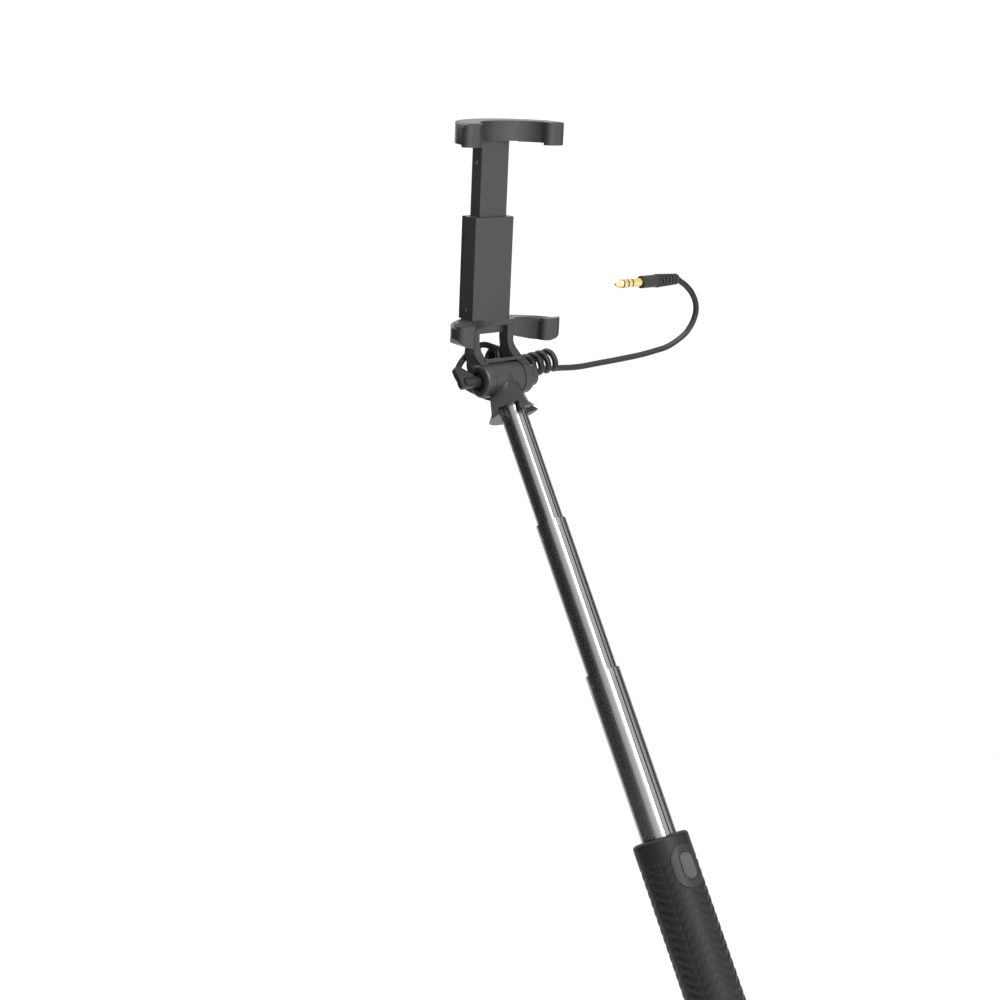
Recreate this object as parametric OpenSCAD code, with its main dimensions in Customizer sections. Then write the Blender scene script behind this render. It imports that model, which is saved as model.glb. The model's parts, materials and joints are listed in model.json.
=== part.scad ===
// Compact wired selfie stick: a telescopic three-tube pole with a rubber
// handle, a tilting spring clamp for a phone and a curly audio lead.
// Millimetres. +Z runs up the pole, the screen side of the clamp faces -Y,
// and the origin is on the pole's axis in the middle of the grip.

/* [Handle] */
// Outer diameter of the rubber grip
grip_d = 21.6; // [21:0.1:30]
// Length of the handle, from the foot of the end cap to the mouth
grip_len = 113.5; // [108:0.5:160]
// Distance from the foot of the end cap up to the origin
grip_below = 40; // [30:1:60]
// Thickness of the rubber sleeve
sleeve_wall = 1.2; // [0.8:0.1:1.6]
// Height of the end cap's rim
cap_h = 6; // [4:0.5:10]
// Radius of the hole in the lanyard lug
lanyard_r = 1.6; // [1:0.1:2.2]
// Thickness of the lanyard lug
lug_t = 3.2; // [2:0.1:5]

/* [Shutter button] */
// Distance from the handle's mouth down to the middle of the button
button_drop = 12.5; // [12:0.5:16]
// Length of the oval button cap
button_len = 10; // [8:0.5:11]
// Width of the oval button cap
button_w = 5.7; // [4.5:0.1:6]
// How far the button stands out of the grip
button_proud = 0.7; // [0.4:0.1:1.5]
// Travel of the button
button_travel = 0.35; // [0.2:0.05:0.4]

/* [Telescopic tubes] */
// Outer diameter of the lowest tube
lower_tube_d = 13.7; // [13:0.1:14]
// Step in diameter from one tube to the next
tube_step = 1.6; // [1.5:0.1:1.8]
// Wall of each tube
tube_wall = 0.4; // [0.35:0.05:0.5]
// Length of the lowest tube that shows when pulled out
lower_show = 65; // [40:0.5:85]
// Length of the middle tube that shows when pulled out
middle_show = 61; // [38:0.5:85]
// Length of the top tube that shows when pulled out
upper_show = 45; // [25:0.5:54]
// Length of each friction bush
bush_len = 16; // [10:0.5:20]
// Width of the groove pressed along each tube
groove_w = 1.8; // [1:0.1:2.4]
// Depth of the groove
groove_depth = 0.25; // [0.1:0.05:0.3]
// Turn of the groove round the pole from the screen side
groove_turn = 7; // [0:1:20]
// Distance from a tube's rim down to its pressed dimples
dimple_drop = 5.5; // [4:0.5:8]

/* [Hinge] */
// Distance from the hinge axis down to the foot of the tee
tee_drop = 15.6; // [13:0.1:18.8]
// Radius of the tee's cross barrel
barrel_r = 6.5; // [6:0.1:7.2]
// Length of the tee's cross barrel
barrel_len = 14; // [12:0.5:16]
// Radius of the round foot of the tee
tee_foot_r = 10.3; // [8.8:0.1:10.5]
// Radius of the fork's round ends
fork_disc_r = 6.7; // [6.3:0.05:8]
// Thickness of the fork's end on the wing screw's side
left_disc_t = 4.2; // [3.4:0.1:9]
// Thickness of the fork's end on the nut's side
right_disc_t = 4.7; // [3.5:0.1:6]
// Radius of the hinge bolt
bolt_r = 1.5; // [1.25:0.05:2]
// Thickness of each friction washer
washer_t = 0.3; // [0.2:0.05:0.6]
// Angle that the clamp leans to the screen side of the pole
head_tilt = 34.8; // [0:0.1:60]

/* [Phone clamp] */
// Height of the phone that the jaws hold
phone_h = 68.7; // [60:0.1:80]
// Thickness of the phone that the jaws hold
phone_t = 8.5; // [7:0.1:10]
// Height of the phone's lower edge above the hinge axis
seat_h = 22.1; // [21:0.1:30]
// Distance of the phone's screen in front of the hinge axis
screen_y = 0.6; // [0:0.1:2]
// Width of the upper jaw
upper_jaw_w = 48.4; // [42:0.2:60]
// Width of the lower jaw
lower_jaw_w = 50.4; // [42:0.2:60]
// How far the lower jaw stands off the rail's middle, to the plug's side
lower_jaw_off = 1.8; // [-2:0.1:2]
// Distance from the screen back to the jaws' rear
jaw_depth = 18.6; // [18:0.1:22]
// Width of the band that each jaw is bent from
jaw_band = 9.2; // [8:0.1:11]
// Height of the upper jaw
upper_jaw_h = 8; // [6:0.1:10]
// Height of the lower jaw at its hooks
lower_jaw_h = 8; // [7:0.1:10]
// Height of the lower jaw at its rear
lower_jaw_rear_h = 5.5; // [5:0.1:6.5]
// How far the hooks stand out in front of the screen
hook_out = 3; // [2:0.1:4]
// How far the hooks reach over the screen
hook_lip = 0.7; // [0.5:0.1:2]
// Height of the rail behind the phone
rail_h = 40; // [36:0.5:44]
// Smallest gap between the jaws
gap_min = 54; // [50:0.5:58]
// Width of the upper jaw's tongue
tongue_w = 13; // [11:0.1:14]
// Thickness of the upper jaw's tongue
tongue_t = 6; // [5.5:0.1:7]
// Thickness of the rubber pads
pad_t = 1; // [0.6:0.1:1.5]

/* [Lead] */
// Diameter of the lead
lead_d = 2.5; // [1.8:0.1:2.6]
// Outer diameter of the lead's curly part
curl_d = 10.3; // [8:0.1:10.4]
// Diameter of the plug's body
plug_body_d = 5.2; // [4:0.1:7]
// Length of the plug's body
plug_body_len = 8.4; // [6:0.1:14]
// Length of the plug's ribbed strain relief
relief_len = 12; // [8:0.5:20]

/* [Hidden] */
$fn = 64;
// Running clearance of a sliding or turning fit, per side
run_gap = 0.05;
// Clearance of a loose fit, per side
loose_gap = 0.15;

// Handle, from the pole's axis outwards and from the foot upwards
grip_r = grip_d / 2;
lower_r = lower_tube_d / 2;
middle_r = lower_r - tube_step / 2;
upper_r = middle_r - tube_step / 2;
handle_foot = -grip_below;
handle_mouth = grip_len - grip_below;
core_r = grip_r - sleeve_wall;
handle_bush_t = 0.3;
core_bore_r = lower_r + handle_bush_t + run_gap;
sleeve_top = 1.4;
collar_len = 7;
collar_flange_r = core_bore_r + 1;
cap_top = handle_foot + cap_h;
cap_spigot = 5;
lug_w = 9;
lug_h = 8;

// Shutter: board, switch, plunger, button and bezel, stacked outwards
button_z = handle_mouth - button_drop;
board_in = core_bore_r + 0.4;
board_t = 0.6;
board_w = 7;
board_len = 19;
switch_w = 3.2;
switch_len = 4.2;
switch_h = 0.95;
plunger_r = 0.8;
plunger_in = 0.5;
flange_t = 0.5;
flange_out = 0.6;
switch_top = board_in + board_t + switch_h;
bezel_rim = 3.2;
bezel_proud = 0.2;

// Tubes: joint levels, hidden lengths and travels
foot_clear = 0.3;
stop_gap = 0.15;
rim_h = 1.5;
dimple_r = 1.3;
dimple_in = 0.3;
lower_rim = handle_mouth + lower_show;
middle_rim = lower_rim + middle_show;
hinge_z = middle_rim + upper_show + tee_drop;
handle_hidden = sleeve_top + collar_len + stop_gap + bush_len + foot_clear;
tube_hidden = dimple_drop + dimple_r + stop_gap + bush_len + foot_clear;
lower_foot = handle_mouth - handle_hidden;
middle_foot = lower_rim - tube_hidden;
upper_foot = middle_rim - tube_hidden;
socket_top = tee_drop - 9.5;
upper_top = hinge_z - tee_drop + socket_top;

// Hinge
disc_in = barrel_len / 2 + washer_t;
left_disc_out = disc_in + left_disc_t;
right_disc_out = disc_in + right_disc_t;
boss_r = 4.2;
boss_len = 3.3;
nut_af = 5.5;
nut_t = 2.4;
recess_r = 4;
recess_deep = 2.4;
arm_in = 6.9;
arm_t = 3;
arm_deep = 5.3;
arm_front = 6.2;
hub_r = 2.1;
hub_out = 7.1;
wing_lean = head_tilt;
wing_t = 2.4;
web_t = 1.2;
web_gap = 0.5;
exit_down = 4.4;
exit_r = 1.35;
grommet_len = 3.6;
grommet_r = 2.1;

// Clamp, in the head's own frame: hinge axis at the origin, Z up the phone
face_gap = 0.3;
screen = -screen_y;
phone_back = screen + phone_t;
seat = seat_h;
jaw_rear = screen + jaw_depth;
jaw_front = screen - hook_out;
lip_gap = 0.2;
upper_seat = seat + phone_h;
rail_wall = 1.2;
rail_side = 2.5;
tongue_front = phone_back + 0.4 + rail_wall + loose_gap;
tongue_back = tongue_front + tongue_t;
rail_front = tongue_front - loose_gap - rail_wall;
rail_back = tongue_back + loose_gap;
rail_w = tongue_w + 2 * loose_gap + 2 * rail_side;
cover_t = 1.5;
tongue_len = gap_min - 2;
tongue_foot = upper_seat - tongue_len;
tongue_wall = 1.1;
fork_plate_t = 2.8;
fork_plate_back = 14.2;
spring_r = 1.7;
spring_x = 2.3;
spring_y = (tongue_front + tongue_back) / 2;
spring_pin_r = 0.8;
lower_pin_z = seat + 4;
upper_pin_z = tongue_foot + 44;
cover_screw_r = 0.8;
fork_screw_r = 1;

// Lead. Points of the free lead are in the head's frame.
lead_r = lead_d / 2;
plug_z = seat + 10.5;
plug_y = screen + 4.2;
plug_x = 74.2;
contact_len = 14;
relief_end = plug_x + plug_body_len + relief_len;
tip_round = 3.4;
// Points in the pole's own direction, from the hinge axis
stub_points = [
    [0, 8.2, -4.4], [0, 9.6, -4.2], [-1.6, 10.8, -3], [-4.6, 11.2, -0.8],
    [-7.4, 11.2, 1]
];
// Points in the head's frame
link_points = [
    [-12.4, 12.3, -0.5], [-12.7, 12.1, 2.2], [-11.2, 12, 5.2],
    [-8.2, 12.2, 8], [-4.2, 13, 10], [0, 14.5, 10.7], [3.4, 15.3, 10.4],
    [6, 15.5, 9.5]
];
curl_points = [
    [6.3, 15.4, 5.3], [10, 15.3, 4.1], [15, 15.2, 1.6], [21, 15, -0.4],
    [29.5, 14.8, 0.4], [37.5, 14.4, 1.4]
];
run_points = [
    [38.6, 14.3, -2.4], [42.5, 14, -2.6], [47.6, 13.4, -2.8],
    [53, 12.6, -2.6], [59.6, 11.5, -1.9], [66.6, 10.3, -1.2],
    [73.5, 9, -0.4], [80.3, 7.7, 0.5], [87.2, 6.4, 1.8], [94.1, 5.1, 3.6],
    [101.2, 4.1, 7.6], [104.6, 3.7, 11.2], [106.6, 3.6, 14.9],
    [107.3, 3.6, 18.4], [106.5, 3.6, 22.1], [104, 3.6, 26],
    [100.3, 3.6, 29.3], [96.8, 3.6, 31.4]
];

// ---- small helpers ----------------------------------------------------

// A plain ring from height a to height b
module ring(outer, inner, a, b) {
    difference() {
        translate([0, 0, a]) cylinder(r = outer, h = b - a);
        translate([0, 0, a - 1]) cylinder(r = inner, h = b - a + 2);
    }
}

// A round bar along X from x = a to x = b
module bar_x(r, a, b) {
    translate([a, 0, 0]) rotate([0, 90, 0]) cylinder(r = r, h = b - a);
}

// An oval of the given length and width, drawn upright
module oval(len, w) {
    hull() {
        translate([0, (len - w) / 2]) circle(d = w);
        translate([0, -(len - w) / 2]) circle(d = w);
    }
}

// An oval prism that points to the screen side, from y = -a to y = -b
module oval_out(len, w, a, b) {
    translate([0, -a, button_z]) rotate([90, 0, 0])
        linear_extrude(b - a) oval(len, w);
}

// Moves a part from the head's frame to its place on the pole
module in_head() {
    translate([0, 0, hinge_z]) rotate([head_tilt, 0, 0]) children();
}

// A side profile drawn as (y, z), as thick as x = a to x = b
module side_plate(a, b) {
    translate([a, 0, 0]) rotate([90, 0, 90])
        linear_extrude(b - a) children();
}

// A front profile drawn as (x, z), as deep as y = a to y = b
module front_plate(a, b) {
    translate([0, b, 0]) rotate([90, 0, 0])
        linear_extrude(b - a) children();
}

// ---- handle -----------------------------------------------------------

// Rubber sleeve with a rolled mouth and a window for the bezel
module grip_sleeve() color("#2a2a2c") difference() {
    rotate_extrude($fn = 96) difference() {
        union() {
            translate([0, cap_top]) square([grip_r - 1.6, handle_mouth - cap_top]);
            translate([0, cap_top]) square([grip_r, handle_mouth - 1.6 - cap_top]);
            translate([grip_r - 1.6, handle_mouth - 1.6]) circle(r = 1.6);
        }
        translate([-1, cap_top - 1])
            square([core_r + 1, handle_mouth - sleeve_top - cap_top + 1]);
        translate([-1, cap_top - 1])
            square([collar_flange_r + 1, grip_len]);
    }
    oval_out(button_len + 2 * bezel_rim, button_w + 2 * bezel_rim,
        core_bore_r, grip_r + 3);
}

// Hard inner body with the bore for the pole and the switch's pocket
module handle_core() color("#3c3c40") difference() {
    ring(core_r, core_bore_r, cap_top, handle_mouth - sleeve_top);
    translate([-board_w / 2 - loose_gap, -grip_r, button_z - board_len / 2 - loose_gap])
        cube([board_w + 2 * loose_gap, grip_r - board_in,
            board_len + 2 * loose_gap]);
    // wire slot from the pocket into the bore
    translate([-1, -board_in - 1, button_z - board_len / 2 - 2])
        cube([2, 2, 4]);
}

// Guide ring in the mouth, which stops the lowest tube's bush
module mouth_collar() color("#1e1e20") {
    top = handle_mouth - sleeve_top;
    ring(core_bore_r, lower_r + run_gap, top - collar_len, top);
    ring(collar_flange_r, lower_r + run_gap, top, handle_mouth);
}

// Closed end with a spigot and the lanyard lug
module end_cap() color("#1e1e20") difference() {
    union() {
        rotate_extrude($fn = 96) {
            translate([0, handle_foot]) square([grip_r - 2, cap_h]);
            translate([0, handle_foot + 2]) square([grip_r, cap_h - 2]);
            translate([grip_r - 2, handle_foot + 2]) circle(r = 2);
        }
        translate([0, 0, cap_top]) cylinder(r = core_bore_r, h = cap_spigot);
        translate([0, lug_t / 2, handle_foot - lug_h + lug_w / 2])
            rotate([90, 0, 0]) cylinder(d = lug_w, h = lug_t);
        translate([-lug_w / 2, -lug_t / 2, handle_foot - lug_h + lug_w / 2])
            cube([lug_w, lug_t, lug_h - lug_w / 2 + 1]);
    }
    translate([0, lug_t, handle_foot - lug_h + lug_w / 2])
        rotate([90, 0, 0]) cylinder(r = lanyard_r, h = 2 * lug_t);
    translate([0, 0, cap_top + 1]) cylinder(r = core_bore_r - 1.2, h = cap_spigot);
}

// ---- shutter ----------------------------------------------------------

module circuit_board() color("#1f6b3a")
    translate([-board_w / 2, -board_in - board_t, button_z - board_len / 2])
        cube([board_w, board_t, board_len]);

module tact_switch() color("#c9c9cc") difference() {
    translate([-switch_w / 2, -switch_top, button_z - switch_len / 2])
        cube([switch_w, switch_h, switch_len]);
    translate([0, -switch_top + plunger_in + button_travel + 0.04, button_z])
        rotate([90, 0, 0])
            cylinder(r = plunger_r + run_gap, h = switch_h, $fn = 32);
}

// Two resistors that mark the button's signal on the microphone line
module chip_resistors() color("#26262a")
    for (s = [-1, 1])
        translate([-0.8, -board_in - board_t - 0.45, button_z + s * 5.5 - 0.5])
            cube([1.6, 0.45, 1]);

// Oval frame that holds the button's flange against the core
module button_bezel() color("#141416") difference() {
    intersection() {
        oval_out(button_len + 2 * bezel_rim, button_w + 2 * bezel_rim,
            core_r - 3, grip_r + 1);
        ring(grip_r + bezel_proud, core_r, button_z - button_len - 5,
            button_z + button_len + 5);
    }
    oval_out(button_len + 2 * (flange_out + loose_gap),
        button_w + 2 * (flange_out + loose_gap),
        core_r - 3, core_r + flange_t + run_gap);
    oval_out(button_len + 2 * loose_gap, button_w + 2 * loose_gap,
        core_r - 3, grip_r + 2);
}

// Button with its retaining flange
module button_cap() color("#4a4a50") {
    oval_out(button_len + 2 * flange_out, button_w + 2 * flange_out,
        core_r, core_r + flange_t);
    oval_out(button_len, button_w, core_r + flange_t,
        grip_r + button_proud - 0.4);
    oval_out(button_len - 0.8, button_w - 0.8, grip_r + button_proud - 0.4,
        grip_r + button_proud);
}

// Plunger of the switch, which the button pushes in
module switch_plunger() color("#101012")
    translate([0, -switch_top + plunger_in, button_z]) rotate([90, 0, 0])
        cylinder(r = plunger_r, h = core_r - switch_top + plunger_in, $fn = 32);

// ---- telescopic tubes --------------------------------------------------

// One tube: pressed groove with its inner ridge, two dimples, and a rim
// turned in to the size of the next tube
module pole_tube(r, foot, top, next_r, rim, dimples) {
    inner = r - tube_wall;
    difference() {
        union() {
            ring(r, inner, foot, top);
            if (rim) ring(r, next_r + run_gap, top - rim_h, top);
            // ridge behind the groove
            rotate([0, 0, -groove_turn]) intersection() {
                translate([0, 0, foot + 0.5])
                    cylinder(r = r - 0.1, h = top - foot - 0.5 - 2 * rim_h);
                translate([-groove_w / 2 - tube_wall, -r, foot])
                    cube([groove_w + 2 * tube_wall, tube_wall + groove_depth,
                        top - foot]);
            }
            if (dimples) translate([0, 0, top - dimple_drop]) {
                bar_x(dimple_r, inner - dimple_in, inner + 0.1);
                bar_x(dimple_r, -inner - 0.1, dimple_in - inner);
            }
        }
        // groove, which ends below the rim
        rotate([0, 0, -groove_turn])
            translate([-groove_w / 2, -r - 1, foot - 1])
                cube([groove_w, 1 + groove_depth, top - foot + 1 - 2 * rim_h]);
        if (dimples) translate([0, 0, top - dimple_drop]) {
            bar_x(dimple_r - 0.15, r - dimple_in, r + 1);
            bar_x(dimple_r - 0.15, -r - 1, dimple_in - r);
        }
    }
}

// Split nylon bush on a tube's foot, with a slot for the ridge outside it
module pole_bush(r, outer, foot, slotted) {
    difference() {
        ring(outer, r, foot + foot_clear, foot + foot_clear + bush_len);
        if (slotted) rotate([0, 0, -groove_turn])
            translate([-groove_w / 2 - tube_wall - 0.3, -outer - 1, foot])
                cube([groove_w + 2 * tube_wall + 0.6, outer - r + 1.3,
                    bush_len + 2]);
    }
}

module lower_tube() color("#8e9094")
    pole_tube(lower_r, lower_foot, lower_rim, middle_r, true, true);
module lower_bush() color("#e8e4d8")
    pole_bush(lower_r, core_bore_r - run_gap, lower_foot, false);
module middle_tube() color("#9a9ca0")
    pole_tube(middle_r, middle_foot, middle_rim, upper_r, true, true);
module middle_bush() color("#e8e4d8")
    pole_bush(middle_r, lower_r - tube_wall - run_gap, middle_foot, true);

// The top tube runs up into the tee, where the cross screw holds it
module upper_tube() color("#a6a8ac") difference() {
    pole_tube(upper_r, upper_foot, upper_top, 0, false, false);
    translate([0, 0, hinge_z - tee_drop + socket_top - 2.5])
        bar_x(fork_screw_r + run_gap, 0, upper_r + 1);
}
module upper_bush() color("#e8e4d8")
    pole_bush(upper_r, middle_r - tube_wall - run_gap, upper_foot, true);

// Curly lead inside the pole, one length for each hollow space
lead_curl_r = upper_r - tube_wall - groove_depth - 1.4;
module inner_lead(a, b) translate([0, 0, a]) cylinder(r = lead_curl_r, h = b - a, $fn = 32);
module handle_lead() color("#303034") inner_lead(cap_top + 1.2, lower_foot);
module lower_lead() color("#303034") inner_lead(lower_foot, middle_foot);
module middle_lead() color("#303034") inner_lead(middle_foot, upper_foot);
module upper_lead() color("#303034")
    translate([0, 0, upper_foot])
        cylinder(r = lead_r, h = upper_top - upper_foot + 1, $fn = 32);

// ---- tee and hinge -----------------------------------------------------

// Tee: cross barrel and a four-ridged stem that flares to a round foot,
// cut open above the foot on its four flats
module tee_body() color("#3a3a3e") {
    foot = hinge_z - tee_drop;
    difference() {
        union() {
            translate([0, 0, hinge_z]) bar_x(barrel_r, -barrel_len / 2, barrel_len / 2);
            intersection() {
                union() {
                    // ridged stem, flaring downwards
                    translate([0, 0, hinge_z]) rotate([180, 0, 0])
                        linear_extrude(height = tee_drop, scale = 1.06 * tee_foot_r / barrel_r)
                            polygon([[barrel_r, 0], [0, barrel_r],
                                [-barrel_r, 0], [0, -barrel_r]]);
                    translate([0, 0, foot + 1.2])
                        cylinder(r1 = upper_r + 1.5, r2 = upper_r + 0.6, h = tee_drop - 4);
                    translate([0, 0, foot])
                        cylinder(r1 = tee_foot_r, r2 = tee_foot_r - 2.2, h = 3.2);
                }
                translate([0, 0, foot]) cylinder(r = tee_foot_r, h = tee_drop + 1);
            }
        }
        // socket for the top tube, wire space and the way out for the lead
        translate([0, 0, foot - 1]) cylinder(r = upper_r, h = socket_top + 1);
        translate([0, 0, foot]) cylinder(r = upper_r - tube_wall, h = tee_drop - exit_down + exit_r);
        translate([0, 0, hinge_z - exit_down]) rotate([-90, 0, 0])
            cylinder(r = exit_r, h = 20, $fn = 32);
        translate([0, barrel_r - 0.9, hinge_z - exit_down]) rotate([-90, 0, 0])
            cylinder(r = grommet_r, h = 20, $fn = 32);
        // hinge bore
        translate([0, 0, hinge_z]) bar_x(bolt_r + run_gap, -20, 20);
        // cross screw, with its head let into the ridge
        translate([0, 0, foot + socket_top - 2.5]) {
            bar_x(fork_screw_r, upper_r - tube_wall, 20);
            bar_x(2, upper_r + 1, 20);
        }
        // room for the washers and the fork's round ends
        translate([0, 0, hinge_z]) {
            bar_x(fork_disc_r + 0.4, barrel_len / 2, 20);
            bar_x(fork_disc_r + 0.4, -20, -barrel_len / 2);
        }
        // windows in the two screen-side flats, above the foot's edge
        for (a = [-45, 45]) rotate([0, 0, a])
            translate([-4.3, -20, foot - 1]) cube([8.6, 20 - upper_r + 1, 4.3]);
    }
}

// Cross screw that pins the top tube into the tee
module tee_screw() color("#606064") translate([0, 0, upper_top - 2.5]) {
    bar_x(fork_screw_r, upper_r - tube_wall, upper_r + 1.2);
    difference() {
        bar_x(1.95, upper_r + 1, upper_r + 2);
        translate([upper_r + 1.5, -0.3, -1.4]) cube([1.5, 0.6, 2.8]);
        translate([upper_r + 1.5, -1.4, -0.3]) cube([1.5, 2.8, 0.6]);
    }
}

// Soft sleeve where the lead leaves the back of the tee
module lead_grommet() color("#1a1a1c")
    translate([0, barrel_r - 0.9, hinge_z - exit_down]) rotate([-90, 0, 0]) difference() {
        cylinder(r = grommet_r, h = grommet_len, $fn = 32);
        translate([0, 0, -1]) cylinder(r = lead_r, h = grommet_len + 2, $fn = 32);
    }

// Two washers that drag between the tee and the fork
module friction_washers() color("#d8d2bc")
    translate([0, 0, hinge_z]) for (s = [-1, 1]) difference() {
        bar_x(barrel_r - 0.8, s > 0 ? barrel_len / 2 : -disc_in + run_gap,
            s > 0 ? disc_in - run_gap : -barrel_len / 2);
        bar_x(bolt_r + run_gap, -20, 20);
    }

// Side profile of a fork arm, from the jaw down round the hinge axis
module arm_side() {
    top = seat - lower_jaw_rear_h + fork_plate_t;
    polygon([[arm_front, top], [arm_front + arm_deep, top],
        [arm_front + arm_deep, seat - 8], [arm_front + arm_deep - 0.9, 9.5],
        [fork_disc_r - 0.2, 1.5], [0, 0], [-1, fork_disc_r - 0.1],
        [2.2, 8.4], [4.6, 10.6], [arm_front - 0.2, 13.4]]);
}

// Front profile of the arm that ends in a disc as thick as t
module arm_front_view(t) {
    top = seat - lower_jaw_rear_h + fork_plate_t;
    polygon([[disc_in, -1], [disc_in + t, -1], [disc_in + t, 4.2],
        [disc_in + t - 0.6, 6.2], [arm_in + arm_t + 0.9, 9.2],
        [arm_in + arm_t, 12.4], [arm_in + arm_t, top], [arm_in, top],
        [arm_in, barrel_r + 2.2], [disc_in, barrel_r + 1.2]]);
}

// One arm with its disc on the +X side
module fork_side(t) {
    intersection() {
        side_plate(arm_in, disc_in + t) arm_side();
        front_plate(-20, 30) arm_front_view(t);
    }
    rotate([0, 90, 0]) rotate_extrude($fn = 96)
        polygon([[0, disc_in], [fork_disc_r, disc_in],
            [fork_disc_r, disc_in + t - 1.3], [fork_disc_r - 0.35, disc_in + t - 0.5],
            [fork_disc_r - 1.1, disc_in + t],
            [0, disc_in + t]]);
}

// Curved web that joins the arms over the tee's barrel
module fork_web() side_plate(-arm_in - 1, disc_in + 2.6) intersection() {
    difference() {
        circle(r = barrel_r + web_gap + web_t, $fn = 96);
        circle(r = barrel_r + web_gap, $fn = 96);
    }
    polygon([[0, 0], [20, 9], [20, 20], [0.6, 20]]);
}

// Fork: two arms, the web between them and the plate that is screwed up
// into the lower jaw
module fork() color("#343438") in_head() difference() {
    union() {
        fork_side(right_disc_t);
        mirror([1, 0, 0]) fork_side(left_disc_t);
        fork_web();
        bar_x(boss_r, right_disc_out - 0.1, right_disc_out + boss_len);
        translate([-arm_in - arm_t, jaw_rear - jaw_band, seat - lower_jaw_rear_h])
            cube([2 * (arm_in + arm_t), fork_plate_back - jaw_rear + jaw_band, fork_plate_t]);
    }
    bar_x(bolt_r + run_gap, -30, 30);
    bar_x(recess_r, -30, -left_disc_out + recess_deep);
    translate([right_disc_out + boss_len - nut_t - 0.4, 0, 0]) rotate([0, 90, 0])
        cylinder(r = nut_af / 2 / cos(30), h = 10, $fn = 6);
    for (s = [-1, 1]) translate([s * 4.2, 12, seat - lower_jaw_rear_h - 1]) {
        cylinder(r = fork_screw_r, h = 10);
        cylinder(r = 1.9, h = 2);
    }
}

module fork_screws() color("#58585c") in_head()
    for (s = [-1, 1]) translate([s * 4.2, 12, seat - lower_jaw_rear_h]) {
        cylinder(r = fork_screw_r, h = 4.4);
        difference() {
            cylinder(r = 1.85, h = 1);
            translate([-1.4, -0.3, -0.5]) cube([2.8, 0.6, 1]);
            translate([-0.3, -1.4, -0.5]) cube([0.6, 2.8, 1]);
        }
    }

module hinge_bolt() color("#9c9ca0") in_head()
    bar_x(bolt_r, -left_disc_out - 2.4, right_disc_out + boss_len);

// Thumb lever on the bolt's end; its hub bears on the recess of the fork
module wing_knob() color("#2c2c30") in_head() rotate([-wing_lean, 0, 0]) difference() {
    hub_end = -left_disc_out - hub_out;
    union() {
        bar_x(hub_r, hub_end, -left_disc_out + recess_deep - run_gap);
        bar_x(recess_r - 0.5, -left_disc_out + recess_deep - 1.2,
            -left_disc_out + recess_deep - run_gap);
        front_plate(-wing_t / 2, wing_t / 2) translate([hub_end, 0])
            polygon([[5.6, 1.9], [4.4, 3.1], [1.9, 5.2], [-0.5, 7],
                [-1.3, 7.05], [-1.9, 6.7], [-2.6, 5.8], [-2.5, 3.7],
                [-1.9, 1.7], [-2.05, -0.5], [-1.5, -1.9], [-0.9, -2.1],
                [0.6, -2.1], [5.6, -1.9]]);
    }
    bar_x(bolt_r, -left_disc_out - 2.4, 0);
}

module hinge_nut() color("#b4b4b8") in_head() difference() {
    translate([right_disc_out + boss_len - nut_t - 0.4, 0, 0]) rotate([0, 90, 0])
        cylinder(r = nut_af / 2 / cos(30), h = nut_t, $fn = 6);
    bar_x(bolt_r + run_gap, -30, 30);
}

// ---- clamp -------------------------------------------------------------

// Plan of a jaw: a band bent in a horseshoe that is open to the screen
module jaw_plan(w) {
    side = 2.6;
    mid = (pow(jaw_rear, 2) - pow(side, 2) - pow(w / 2, 2)) / (2 * (jaw_rear - side));
    r_out = jaw_rear - mid;
    offset(r = tip_round) offset(delta = -tip_round) difference() {
        intersection() {
            translate([-w / 2, jaw_front]) square([w, jaw_depth + hook_out]);
            translate([0, mid]) circle(r = r_out, $fn = 160);
        }
        offset(r = 2) offset(delta = -2) intersection() {
            translate([-w / 2 + jaw_band, jaw_front - 5])
                square([w - 2 * jaw_band, jaw_depth + hook_out + 5]);
            translate([0, mid]) circle(r = r_out - jaw_band, $fn = 160);
        }
    }
}

// Plan of the rubber pad let into a jaw
module pad_plan(w) intersection() {
    offset(delta = -1.3) jaw_plan(w);
    translate([-w / 2, screen + 0.2]) square([w, phone_t - 0.4]);
}

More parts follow.
